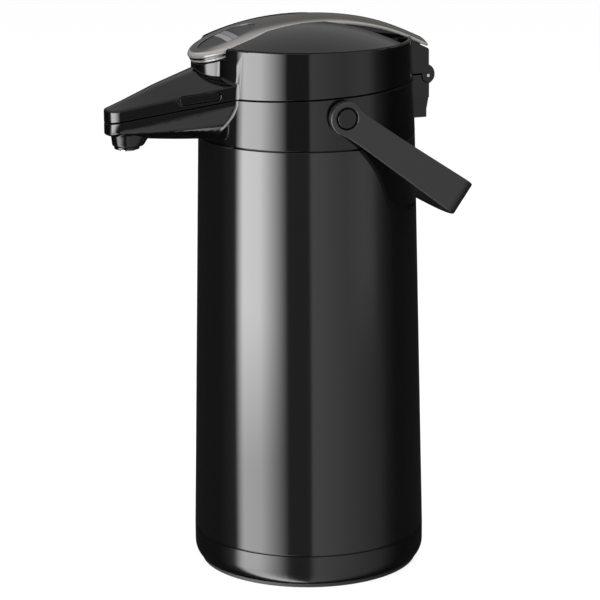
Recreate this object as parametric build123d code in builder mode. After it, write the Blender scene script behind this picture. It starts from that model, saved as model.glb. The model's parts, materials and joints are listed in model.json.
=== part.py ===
from build123d import *
import os
from math import cos, radians, sin, sqrt, tan

os.makedirs("parts", exist_ok=True)

# Airpot, millimetres. Z is up from the ground, the spout points to -Y, the lid hinge is at +Y.

# Outer body and base
body_foot_r = 79.0
base_top_z = 23.5
body_top_z = 297.5
body_top_r = 73.0
seam = 0.9
shell_wall = 0.8
base_wall = 2.6
foot_r = body_foot_r - 4.7
foot_h = 3.0
foot_wall = 5.0
base_floor_z = 6.0
base_floor_t = 2.6
cap_r = 42.0
screw_count = 3
screw_pitch_r = 58.0
screw_head_r = 3.6
screw_shank_r = 1.8
screw_len = 12.0

# Vacuum flask
flask_r = body_top_r - 7.0
flask_wall = 0.8
flask_vacuum = 4.5
flask_floor_z = 26.0
flask_shoulder_z = 246.0
flask_neck_r = 36.0
flask_mouth_r = 31.0
flask_mouth_z = 284.0
cushion_h = 8.0

# Collar, lid ring and their seam
lid_seam_z = 331.9
lid_seam_slope = 0.045
lid_rim_z = 361.7
lid_rim_r = body_top_r - 2.4
collar_wall = 2.4
lid_wall = 2.4
funnel_seat_z = 314.0
funnel_seat_r = 41.0
funnel_bore_r = funnel_seat_r - 3.5
funnel_t = 2.4
deck_z = 298.8
ledge_r = body_top_r - 9.0

# Spout
spout_root_y = -60.0
spout_root_half = 38.0
spout_angle = 19.6
spout_tip_y = -140.3
spout_part_slope = 0.2026
spout_band = 9.5
spout_tip_band = 7.4
spout_lower_band = 3.3
spout_wall = 2.2
nozzle_y = -125.5
nozzle_r = 10.6
nozzle_low_r = 9.6
nozzle_low_z = 296.9
nozzle_top_z = 305.0
nozzle_ramp = 5.7
nozzle_ramp_low = 1.4
nozzle_ring_r = 8.4
nozzle_ring_low_z = 295.0
barrel_r = 7.0
insert_r = 5.4
insert_low_z = 294.0
pipe_r = 4.2
pipe_bore_r = 3.0
pipe_z = 307.5
pipe_bend = 9.0
pipe_joint_y = -46.0
pipe_end_z = 309.5
riser_y = -18.0
riser_low_z = 42.0

# Dome of the lid and the slot for the lever
dome_r = 167.0
dome_top_z = 377.2
slot_half = 24.0
slot_flare_y = 5.0
slot_rear_half = 50.0
slot_rear_y = 50.0
dome_wall = 2.2
pan_z = 357.0
pan_t = 2.0
pan_r = lid_rim_r - 2.8

# Lever, shown pressed down: y, height of the crest and radius of the crown across it
lever_stations = [
    (-88.0, 353.0, 200.0),
    (-57.0, 366.3, 200.0),
    (-30.0, 374.2, 180.0),
    (0.0, 377.4, 110.0),
    (30.0, 375.5, 75.0),
    (55.0, 369.6, 58.0),
    (84.0, 357.2, 50.0),
]
lever_station_half = 30.5
head_y = -52.3
head_half = 29.3
arm_half = 22.6
arm_taper = 0.066
arm_straight_y = 60.0
lever_end_y = 81.5
lever_end_round = 4.0
waist_round = 12.0
lever_clear = 0.8
cover_t = 1.2
cover_rim = 3.6
groove = 0.8
band_t = 2.0
band_inset = 1.6
core_inset = 0.9
core_depth = 9.0
core_floor_z = 361.0
rim_end_y = -40.0
band_end_y = -38.0
arm_rim = 1.8
inlay_y = -56.0
inlay_half_x = 16.0
inlay_half_y = 19.5
inlay_t = 1.0
inlay_sink = 0.5
window_half_y = 4.0
window_t = 0.4
lever_pivot_y = 74.0
lever_pivot_z = 349.5
lever_pin_r = 2.0
pivot_hub_r = 5.2
pivot_hub_half = 10.0

# Neck under the lever head
neck_y = -53.0
neck_r = 26.5

# Hinge at the back
hinge_y = body_top_r + 8.0
hinge_z = 334.0
hinge_pin_r = 1.15
hinge_half = 18.0
lid_knuckle_r = 4.6
collar_knuckle_r = 7.1
collar_knuckle_half = 12.0
block_back_y = hinge_y + 0.5
block_front_y = 65.0
block_front_z = 360.3
block_back_z = 352.3
block_root_y = 60.0
bracket_back_y = hinge_y + 1.2
bracket_bottom_z = 305.4
bracket_foot_z = 311.0
bracket_step_z = 319.0
bracket_step = 2.2
bracket_taper = 1.5
hinge_round = 2.0
run_gap = 0.05
part_gap = 0.4

# Pump inside the lid
pump_r = 40.0
lid_base_z = 317.0
lid_base_t = 3.0
gasket_t = 2.7
bellows_h = 15.0
bellows_folds = 4
plate_t = 3.0
rod_r = 5.0
rod_y = 0.0
rod_top_gap = 0.6
spring_r = 16.0
spring_wire_r = 1.0
spring_turns = 5

# Handle
handle_pivot_z = 319.6
handle_outer_x = body_top_r + 7.0
handle_t = 6.0
handle_drop = 35.0
handle_neck_round = 40.0
boss_r = 11.3
arm_low = 10.1
arm_high = 9.0
grip_low = 13.2
grip_high = 10.4
grip_s = 94.0
grip_corner_s = 100.0
grip_bow = 18.0
grip_t = 8.0
grip_corner_r = 9.0
pin_head_r = 6.5
pin_head_seat_r = 7.25
pin_head_t = 2.0
pin_seat_depth = 2.4
pin_shank_r = 4.0
pin_inner_x = body_top_r - 6.2
pad_r = 9.0

# Release buttons in the side walls of the spout
button_y = -84.0
button_z = 330.2
button_len = 26.0
button_h = 5.2
button_slope = 0.139
button_proud = 0.8
button_depth = 6.0
button_gap = 0.3
button_travel = 2.5


def body_r(z):
    return body_foot_r + (body_top_r - body_foot_r) * (z - base_top_z) / (body_top_z - base_top_z)


def head_r(z):
    return body_top_r + (lid_rim_r - body_top_r) * (z - body_top_z) / (lid_rim_z - body_top_z)


def lid_seam(y):
    return lid_seam_z + lid_seam_slope * y


def spout_seam(y):
    return lid_seam(spout_root_y) + spout_part_slope * (y - spout_root_y)


def spout_half(y):
    return spout_root_half - (spout_root_y - y) * tan(radians(spout_angle))


def seam_blade(shift, limit_z):
    """Block bounded by the seam between collar and lid, moved up by shift."""
    front_y = -170.0
    back_y = 110.0
    with BuildPart() as blade:
        with BuildSketch(Plane.YZ):
            with BuildLine():
                Polyline(
                    (front_y, spout_seam(front_y) + shift),
                    (spout_root_y, lid_seam(spout_root_y) + shift),
                    (back_y, lid_seam(back_y) + shift),
                    (back_y, limit_z),
                    (front_y, limit_z),
                    close=True,
                )
            make_face()
        extrude(amount=120, both=True)
    return blade.part


def ring(profile):
    """Solid turned about the Z axis from radius and height pairs."""
    with BuildPart() as turned:
        with BuildSketch(Plane.XZ):
            with BuildLine():
                Polyline(*profile, close=True)
            make_face()
        revolve(axis=Axis.Z)
    return turned.part


def spout_plan(inset):
    """Wedge with a round tip, seen from above, drawn on the current plane."""
    angle = radians(spout_angle)
    half = spout_root_half - inset / cos(angle)
    tip = spout_tip_y + inset
    reach = spout_root_y - tip
    radius = (half * cos(angle) - reach * sin(angle)) / (1 - sin(angle))
    back = 22.0
    back_half = half + back * tan(angle)
    touch_x = radius * cos(angle)
    touch_y = tip + radius - radius * sin(angle)
    with BuildSketch(mode=Mode.PRIVATE) as plan:
        with BuildLine():
            Polyline((-touch_x, touch_y), (-back_half, spout_root_y + back),
                     (back_half, spout_root_y + back), (touch_x, touch_y))
            ThreePointArc((touch_x, touch_y), (0, tip), (-touch_x, touch_y))
        make_face()
    return plan.sketch


def spout_lower(inset):
    """Lower half of the spout: upright band under the seam, then a hull that narrows to a flat keel."""
    stations = [(-42.0, 299.6, 9.0), (-100.0, 301.0, 8.0), (-143.0, 305.4, 5.0)]
    with BuildPart() as hull:
        for y, floor_z, keel in stations:
            half = spout_half(y) - inset / cos(radians(spout_angle))
            low = floor_z + inset
            edge = spout_seam(y) - spout_lower_band
            flat = keel - 0.4 * inset
            mid_x = flat + 0.76 * (half - flat)
            mid_z = low + 0.48 * (edge - low)
            with BuildSketch(Plane.XZ.offset(-y)):
                with BuildLine():
                    Polyline((-half, edge), (-half, edge + 12), (half, edge + 12), (half, edge))
                    ThreePointArc((half, edge), (mid_x, mid_z), (flat, low))
                    Line((flat, low), (-flat, low))
                    ThreePointArc((-flat, low), (-mid_x, mid_z), (-half, edge))
                make_face()
        loft()
        with BuildSketch(Plane.XY.offset(290)):
            add(spout_plan(inset))
        extrude(amount=60, mode=Mode.INTERSECT)
    return hull.part


def spout_edge(y):
    """Height of the roof's edge on the spout's side wall: the band under it narrows towards the tip."""
    share = (y - spout_root_y) / (spout_tip_y - spout_root_y)
    return spout_seam(y) + spout_band - (spout_band - spout_tip_band) * share


def spout_upper(inset):
    """Upper half of the spout: upright walls and a roof with straight flanks and a rounded ridge."""
    stations = [(-42.0 + inset, 358.0), (-80.0, 346.0), (-106.0, 336.6), (-127.3, 327.4), (-146.0, 319.0)]
    ridge_share = 0.3
    ridge_drop = 0.1765
    with BuildPart() as cover:
        for y, crest_z in stations:
            half = spout_half(y) - inset / cos(radians(spout_angle))
            edge = spout_edge(y) - inset
            base = spout_seam(y) - 6 - inset
            crest = max(crest_z - inset, edge + 0.8)
            ridge_x = ridge_share * half
            ridge_z = crest - ridge_drop * (crest - edge)
            with BuildSketch(Plane.XZ.offset(-y)):
                with BuildLine():
                    Polyline((-ridge_x, ridge_z), (-half, edge), (-half, base), (half, base), (half, edge),
                             (ridge_x, ridge_z))
                    ThreePointArc((ridge_x, ridge_z), (0, crest), (-ridge_x, ridge_z))
                make_face()
        loft(ruled=True)
        with BuildSketch(Plane.XY.offset(290)):
            add(spout_plan(inset))
        extrude(amount=80, mode=Mode.INTERSECT)
    return cover.part


def crowned_slab(top, bottom):
    """Layer of the lever between two depths below its crowned top surface."""
    half = lever_station_half
    with BuildPart() as slab:
        for y, crest, radius in lever_stations:
            upper = radius - top
            lower = radius - bottom
            upper_edge = crest - top - (upper - sqrt(upper ** 2 - half ** 2))
            lower_edge = crest - bottom - (lower - sqrt(lower ** 2 - half ** 2))
            with BuildSketch(Plane.XZ.offset(-y)):
                with BuildLine():
                    ThreePointArc((-half, upper_edge), (0, crest - top), (half, upper_edge))
                    Line((half, upper_edge), (half, lower_edge))
                    ThreePointArc((half, lower_edge), (0, crest - bottom), (-half, lower_edge))
                    Line((-half, lower_edge), (-half, upper_edge))
                make_face()
        loft()
    return slab.part


def lever_plan(inset):
    """Outline of the lever from above: round head, waist and slightly tapered arm."""
    near = head_y + 12.0
    near_half = arm_half - arm_taper * near - inset
    end_half = arm_half - arm_taper * arm_straight_y - inset
    end_y = lever_end_y - inset
    with BuildSketch(mode=Mode.PRIVATE) as outline:
        with Locations((0, head_y)):
            Circle(head_half - inset)
        with BuildLine():
            Polyline(
                (-near_half, near), (near_half, near), (end_half, arm_straight_y), (end_half, end_y),
                (-end_half, end_y), (-end_half, arm_straight_y), close=True,
            )
        make_face()
        fillet(outline.vertices().group_by(Axis.Y)[-1], radius=lever_end_round)
    return outline.sketch


def block_top(y):
    """Height of the hinge block's sloping top."""
    slope = (block_back_z - block_front_z) / (block_back_y - block_front_y)
    return block_front_z + slope * (y - block_front_y)


def prism(sketch, low_z, high_z):
    """Upright prism over an outline drawn in X and Y."""
    with BuildPart() as column:
        with BuildSketch(Plane.XY.offset(low_z)):
            add(sketch)
        extrude(amount=high_z - low_z)
    return column.part


collar_low_z = body_top_z + seam / 2
shell_top_z = body_top_z - seam / 2
shell_low_z = base_top_z + seam / 2
base_ring_top_z = base_top_z - seam / 2
spigot_r = body_top_r - 2.5
spigot_wall = 2.2
skirt_r = head_r(lid_seam_z) - collar_wall - 1.5
skirt_t = 1.8
lid_base_r = skirt_r - skirt_t - 0.2
collar_cut = seam_blade(-seam / 2, 460)
lid_cut = seam_blade(seam / 2, 240)

# Foot ring under the base
with BuildPart() as foot_ring:
    add(ring([(foot_r - foot_wall, 0), (foot_r, 0), (foot_r, foot_h), (foot_r - foot_wall, foot_h)]))
    fillet(foot_ring.edges().group_by(Axis.Z)[0], radius=0.8)
foot_ring.part.label = "foot_ring"

# Base ring: outer wall, floor with three screw bosses and the step inside the body
base_low_r = foot_r + 1.6
base_spigot_r = body_foot_r - shell_wall - 0.3
with BuildPart() as base_ring:
    with BuildSketch(Plane.XZ):
        with BuildLine():
            Polyline((base_low_r - base_wall - 1, foot_h), (base_low_r - 0.6, foot_h), (base_low_r, foot_h + 0.6))
            ThreePointArc((base_low_r, foot_h + 0.6), (body_foot_r - 0.9, foot_h + 4.2), (body_foot_r, foot_h + 9))
            Polyline(
                (body_foot_r, foot_h + 9), (body_foot_r, base_ring_top_z), (base_spigot_r, base_ring_top_z),
                (base_spigot_r, base_ring_top_z + 8), (base_spigot_r - base_wall, base_ring_top_z + 8),
                (base_spigot_r - base_wall, base_floor_z + base_floor_t), (cap_r, base_floor_z + base_floor_t),
                (cap_r, base_floor_z), (base_low_r - base_wall - 1, base_floor_z),
                (base_low_r - base_wall - 1, foot_h),
            )
        make_face()
    revolve(axis=Axis.Z)
    with BuildSketch(Plane.XY.offset(base_floor_z + base_floor_t)):
        with PolarLocations(screw_pitch_r, screw_count):
            Circle(2.5 * screw_shank_r)
    extrude(amount=screw_len - base_floor_t)
    with BuildSketch(Plane.XY.offset(base_floor_z - 1)):
        with PolarLocations(screw_pitch_r, screw_count):
            Circle(screw_shank_r)
    extrude(amount=screw_len, mode=Mode.SUBTRACT)
base_ring.part.label = "base_ring"

# Base cap: closes the floor and carries the flask on its raised cup
cap_flange_r = foot_r - foot_wall - 1.5
screw_seat_z = 3.4
cup_r = cap_r - 0.4
cup_top_z = flask_floor_z - cushion_h
with BuildPart() as base_cap:
    add(ring([
        (0, 0), (cap_flange_r - 0.5, 0), (cap_flange_r, 0.5), (cap_flange_r, base_floor_z), (cup_r, base_floor_z),
        (cup_r, cup_top_z), (cup_r - 2.4, cup_top_z), (cup_r - 2.4, base_floor_z), (0, base_floor_z),
    ]))
    with BuildSketch(Plane.XY):
        with PolarLocations(screw_pitch_r, screw_count):
            Circle(screw_head_r + 0.3)
    extrude(amount=screw_seat_z, mode=Mode.SUBTRACT)
    with BuildSketch(Plane.XY):
        with PolarLocations(screw_pitch_r, screw_count):
            Circle(screw_shank_r + 0.1)
    extrude(amount=base_floor_z, mode=Mode.SUBTRACT)
    with BuildSketch(Plane.XY.offset(base_floor_z)):
        with PolarLocations(cup_r / 2, 6):
            Rectangle(cup_r - 6, 2)
    extrude(amount=cup_top_z - base_floor_z)
base_cap.part.label = "base_cap"

# Three screws through the base cap
with BuildPart() as base_screws:
    with BuildSketch(Plane.XY.offset(screw_seat_z - 2.2)):
        with PolarLocations(screw_pitch_r, screw_count):
            Circle(screw_head_r)
            RegularPolygon(1.4, 6, mode=Mode.SUBTRACT)
    extrude(amount=2.2)
    with BuildSketch(Plane.XY.offset(screw_seat_z - 0.4)):
        with PolarLocations(screw_pitch_r, screw_count):
            Circle(screw_shank_r)
    extrude(amount=screw_len - 1)
base_screws.part.label = "base_screws"

# Lacquered steel body, rolled inwards at both ends
with BuildPart() as outer_shell:
    lip = 1.4
    top_r = body_r(shell_top_z)
    low_r = body_r(shell_low_z)
    add(ring([
        (low_r - 0.5, shell_low_z), (low_r, shell_low_z + 0.5), (top_r, shell_top_z - 0.5),
        (top_r - 0.5, shell_top_z), (top_r - shell_wall - lip, shell_top_z),
        (top_r - shell_wall - lip, shell_top_z - shell_wall), (top_r - shell_wall, shell_top_z - shell_wall),
        (low_r - shell_wall, shell_low_z + shell_wall), (low_r - shell_wall, shell_low_z),
    ]))
outer_shell.part.label = "outer_shell"


def bottle(radius, floor_z, shoulder_z, neck, top_z, corner):
    """Closed flask shape with a rounded floor edge and a quarter-round shoulder."""
    shoulder = radius - neck
    with BuildPart() as vessel:
        with BuildSketch(Plane.XZ):
            with BuildLine():
                Polyline((0, top_z), (0, floor_z), (radius - corner, floor_z))
                CenterArc((radius - corner, floor_z + corner), corner, 270, 90)
                Line((radius, floor_z + corner), (radius, shoulder_z))
                CenterArc((neck, shoulder_z), shoulder, 0, 90)
                Polyline((neck, shoulder_z + shoulder), (neck, top_z), (0, top_z))
            make_face()
        revolve(axis=Axis.Z)
    return vessel.part


# Vacuum flask: outer vessel, then the inner vessel whose flange closes the gap at the mouth
with BuildPart() as flask_outer:
    add(bottle(flask_r, flask_floor_z, flask_shoulder_z, flask_neck_r, flask_mouth_z, 12))
    add(bottle(flask_r - flask_wall, flask_floor_z + flask_wall, flask_shoulder_z, flask_neck_r - flask_wall,
               flask_mouth_z, 12 - flask_wall), mode=Mode.SUBTRACT)
flask_outer.part.label = "flask_outer"

inner_r = flask_r - flask_vacuum
inner_floor_z = flask_floor_z + flask_vacuum + 1
with BuildPart() as flask_inner:
    add(bottle(inner_r, inner_floor_z, flask_shoulder_z - 3, flask_mouth_r + flask_wall, flask_mouth_z, 14))
    add(ring([
        (flask_mouth_r, flask_mouth_z), (flask_neck_r + 0.6, flask_mouth_z),
        (flask_neck_r + 0.6, flask_mouth_z + flask_wall), (flask_mouth_r, flask_mouth_z + flask_wall),
    ]))
    add(bottle(inner_r - flask_wall, inner_floor_z + flask_wall, flask_shoulder_z - 3, flask_mouth_r,
               flask_mouth_z + 2, 14 - flask_wall), mode=Mode.SUBTRACT)
flask_inner.part.label = "flask_inner"

with BuildPart() as flask_cushion:
    add(ring([(12, cup_top_z), (cup_r, cup_top_z), (cup_r, flask_floor_z), (12, flask_floor_z)]))
    chamfer(flask_cushion.edges().group_by(Axis.Z)[-1], length=1.5)
flask_cushion.part.label = "flask_cushion"

# Funnel between the flask mouth and the collar, with the upright ring that the lid seals on
gasket_low_z = flask_mouth_z + flask_wall
gasket_h = 2.2
funnel_low_z = gasket_low_z + gasket_h
throat_r = flask_mouth_r - 3.2
throat_low_z = flask_mouth_z - 14
with BuildPart() as neck_funnel:
    add(ring([
        (throat_r - funnel_t, throat_low_z), (throat_r, throat_low_z), (throat_r, funnel_low_z),
        (funnel_seat_r, funnel_low_z), (funnel_seat_r, deck_z), (spigot_r - spigot_wall - 0.4, deck_z),
        (spigot_r - spigot_wall - 0.4, deck_z + funnel_t), (funnel_seat_r, deck_z + funnel_t),
        (funnel_seat_r, funnel_seat_z), (funnel_bore_r, funnel_seat_z), (funnel_bore_r, funnel_low_z + 6),
        (throat_r - funnel_t, funnel_low_z + 1),
    ]))
    with BuildSketch(Plane.XZ.offset(30)):
        with Locations((0, pipe_z)):
            Circle(pipe_r + 0.1)
    extrude(amount=20, mode=Mode.SUBTRACT)
neck_funnel.part.label = "neck_funnel"

with BuildPart() as neck_gasket:
    add(ring([
        (throat_r + 0.3, gasket_low_z), (flask_neck_r + 0.6, gasket_low_z),
        (flask_neck_r + 0.6, funnel_low_z), (throat_r + 0.3, funnel_low_z),
    ]))
neck_gasket.part.label = "neck_gasket"

# Collar with the lower half of the spout, the handle pads and the hinge bracket, one moulding
with BuildPart() as spout_shell:
    add(spout_lower(0))
    with BuildSketch(Plane.XY.offset(nozzle_top_z)):
        with Locations((0, nozzle_y + nozzle_ramp / 2)):
            SlotCenterToCenter(nozzle_ramp, 2 * nozzle_r, rotation=90)
    with BuildSketch(Plane.XY.offset(nozzle_low_z)):
        with Locations((0, nozzle_y + nozzle_ramp_low / 2)):
            SlotCenterToCenter(nozzle_ramp_low, 2 * nozzle_low_r, rotation=90)
    loft()

with BuildPart() as bracket:
    with BuildSketch(Plane.XY.offset(bracket_step_z)):
        with Locations((0, (bracket_back_y + block_root_y) / 2)):
            Rectangle(2 * hinge_half, bracket_back_y - block_root_y)
    extrude(amount=hinge_z + 3 - bracket_step_z)
    fillet(bracket.edges().filter_by(Axis.Z).group_by(Axis.Y)[-1], radius=hinge_round)
    with BuildSketch(Plane.YZ) as bracket_foot:
        Polygon((block_root_y, bracket_bottom_z), (bracket_back_y - bracket_taper, bracket_bottom_z),
                (bracket_back_y - bracket_taper, bracket_foot_z), (bracket_back_y, bracket_step_z),
                (block_root_y, bracket_step_z), align=None)
        fillet(bracket_foot.vertices().sort_by(Axis.X)[-3], radius=hinge_round)
    extrude(amount=hinge_half - bracket_step, both=True)
    with BuildSketch(Plane.YZ):
        with Locations((hinge_y, hinge_z)):
            Circle(lid_knuckle_r + part_gap)
    extrude(amount=hinge_half + 1, both=True, mode=Mode.SUBTRACT)

with BuildPart() as collar:
    add(ring([
        (head_r(collar_low_z) - collar_wall, collar_low_z), (head_r(collar_low_z), collar_low_z),
        (head_r(350), 350), (head_r(350) - collar_wall, 350),
    ]))
    add(spout_shell.part)
    add(bracket.part)
    with BuildSketch(Plane.YZ):
        with Locations((0, handle_pivot_z)):
            Circle(pad_r)
    extrude(amount=handle_outer_x - handle_t - part_gap, both=True)
    add(ring([
        (0, 290), (head_r(350) - collar_wall - 0.2, 290), (head_r(350) - collar_wall - 0.2, 350), (0, 350),
    ]), mode=Mode.SUBTRACT)
    add(ring([
        (ledge_r, deck_z - 2.5), (spigot_r - spigot_wall, deck_z - 2.5),
        (spigot_r - spigot_wall, shell_top_z - 8), (spigot_r, shell_top_z - 8), (spigot_r, collar_low_z),
        (head_r(collar_low_z) - 1, collar_low_z), (head_r(collar_low_z) - 1, deck_z), (ledge_r, deck_z),
    ]))
    add(spout_lower(spout_wall), mode=Mode.SUBTRACT)
    add(collar_cut, mode=Mode.SUBTRACT)
    with BuildSketch(Plane.YZ):
        with Locations((hinge_y, hinge_z)):
            Circle(collar_knuckle_r)
        Polygon((hinge_y, hinge_z), (hinge_y, hinge_z - 10), (hinge_y - 10, hinge_z - 10),
                (hinge_y - 10, hinge_z - 1), align=None)
    extrude(amount=collar_knuckle_half, both=True)
    with BuildSketch(Plane.YZ):
        with Locations((hinge_y, hinge_z)):
            Circle(hinge_pin_r)
        with Locations((0, handle_pivot_z)):
            Circle(pin_shank_r)
    extrude(amount=handle_outer_x, both=True, mode=Mode.SUBTRACT)
    with BuildSketch(Plane.XY.offset(nozzle_low_z - 1)):
        with Locations((0, nozzle_y)):
            Circle(barrel_r)
    extrude(amount=12, mode=Mode.SUBTRACT)
collar.part.label = "collar"

# Riser tube in the flask, its elbow goes through the funnel ring
with BuildPart() as riser_tube:
    with BuildLine() as riser_path:
        FilletPolyline((0, riser_y, riser_low_z), (0, riser_y, pipe_z), (0, pipe_joint_y, pipe_z), radius=pipe_bend)
    with BuildSketch(Plane.XY.offset(riser_low_z)):
        with Locations((0, riser_y)):
            Circle(pipe_r)
            Circle(pipe_bore_r, mode=Mode.SUBTRACT)
    sweep(path=riser_path.line)
riser_tube.part.label = "riser_tube"

# Pipe along the spout, down into the nozzle
with BuildPart() as spout_pipe:
    with BuildLine() as pipe_path:
        FilletPolyline((0, pipe_joint_y, pipe_z), (0, nozzle_y, pipe_end_z), (0, nozzle_y, nozzle_low_z + 1),
                       radius=pipe_bend)
    with BuildSketch(Plane(origin=pipe_path.line @ 0, z_dir=pipe_path.line % 0)):
        Circle(pipe_r)
        Circle(pipe_bore_r, mode=Mode.SUBTRACT)
    sweep(path=pipe_path.line)
spout_pipe.part.label = "spout_pipe"

# Nozzle ring and the pale steel insert in its mouth
barrel_top_z = nozzle_top_z - 1
with BuildPart() as nozzle:
    with Locations((0, nozzle_y, 0)):
        add(ring([
            (insert_r, nozzle_ring_low_z), (nozzle_ring_r, nozzle_ring_low_z), (nozzle_ring_r, nozzle_low_z),
            (barrel_r, nozzle_low_z), (barrel_r, barrel_top_z), (insert_r, barrel_top_z),
        ]))
nozzle.part.label = "nozzle"

with BuildPart() as nozzle_insert:
    with Locations((0, nozzle_y, 0)):
        add(ring([
            (pipe_r + run_gap, insert_low_z), (insert_r, insert_low_z), (insert_r, barrel_top_z),
            (pipe_r + run_gap, barrel_top_z),
        ]))
nozzle_insert.part.label = "nozzle_insert"

# Hinge pin, and the pins that the handle turns on
with BuildPart() as hinge_pin:
    with BuildSketch(Plane.YZ.offset(-hinge_half)):
        with Locations((hinge_y, hinge_z)):
            Circle(hinge_pin_r)
    extrude(amount=2 * hinge_half)
hinge_pin.part.label = "hinge_pin"

head_back_x = handle_outer_x - pin_head_t
with BuildPart() as handle_pins:
    with BuildSketch(Plane.YZ.offset(pin_inner_x)):
        with Locations((0, handle_pivot_z)):
            Circle(pin_shank_r)
    extrude(amount=head_back_x - pin_inner_x)
    with BuildSketch(Plane.YZ.offset(head_back_x)):
        with Locations((0, handle_pivot_z)):
            Circle(pin_head_r)
    extrude(amount=pin_head_t)
    chamfer(handle_pins.edges().group_by(Axis.X)[-1], length=0.6)
    mirror(about=Plane.YZ)
handle_pins.part.label = "handle_pins"


def slot_plan(grow):
    """Outline of the dome's slot: round the lever head, along the arm, flared at the back."""
    half = slot_half + grow
    flare = (slot_rear_half - slot_half) / (slot_rear_y - slot_flare_y)
    far_y = 80.0
    far_half = half + flare * (far_y - slot_flare_y)
    front_y = -90.0
    head = head_half + lever_clear + grow
    with BuildSketch(mode=Mode.PRIVATE) as outline:
        with Locations((0, head_y)):
            Circle(head)
        with Locations((0, (head_y + front_y) / 2)):
            Rectangle(2 * head, head_y - front_y)
        with BuildLine():
            Polyline((-half, head_y), (half, head_y), (half, slot_flare_y), (far_half, far_y),
                     (-far_half, far_y), (-half, slot_flare_y), close=True)
        make_face()
    return outline.sketch


def button_plane(side):
    """Plane on the spout's side wall at the middle of a button, facing out; side is 1 or -1."""
    angle = radians(spout_angle)
    return Plane(
        origin=(side * spout_half(button_y), button_y, button_z),
        x_dir=(side * sin(angle), cos(angle), button_slope),
        z_dir=(side * cos(angle), -sin(angle), 0),
    )


def button_block(side, grow, low, high):
    """Stadium block through the spout's side wall, from depth low to height high."""
    with BuildPart() as block:
        with BuildSketch(button_plane(side).offset(low)):
            SlotOverall(button_len + 2 * grow, button_h + 2 * grow)
        extrude(amount=high - low)
    return block.part


# Space that the lever needs while it is down
lever_bottom = cover_rim + groove + band_t + part_gap
with BuildPart() as lever_gap:
    add(crowned_slab(-30, lever_bottom))
    add(prism(lever_plan(-lever_clear), 340, 400), mode=Mode.INTERSECT)
    with BuildSketch(Plane.XY.offset(330)):
        Polygon((-40, block_root_y), (40, block_root_y), (40, 100), (-40, 100), align=None)
    extrude(amount=70, mode=Mode.SUBTRACT)

# Hinge block at the back of the lid
pocket_half = pivot_hub_half + part_gap
pocket_low_z = 343.5
with BuildPart() as hinge_block:
    with BuildSketch(Plane.YZ):
        Polygon((block_root_y, 340), (69, 340), (69, hinge_z), (block_back_y, hinge_z),
                (block_back_y, block_back_z), (block_front_y, block_front_z), (block_root_y, block_front_z),
                align=None)
    extrude(amount=hinge_half, both=True)
    fillet(hinge_block.edges().filter_by(Axis.X).group_by(Axis.Y)[-1].sort_by(Axis.Z)[-1], radius=hinge_round)

# Upper half of the spout, hollow
ring_inner = head_r(lid_rim_z) - lid_wall
with BuildPart() as spout_cover:
    add(spout_upper(0))
    add(spout_upper(spout_wall), mode=Mode.SUBTRACT)
    add(ring([(0, 300), (ring_inner + 0.7, 300), (ring_inner + 0.7, 400), (0, 400)]), mode=Mode.SUBTRACT)

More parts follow.
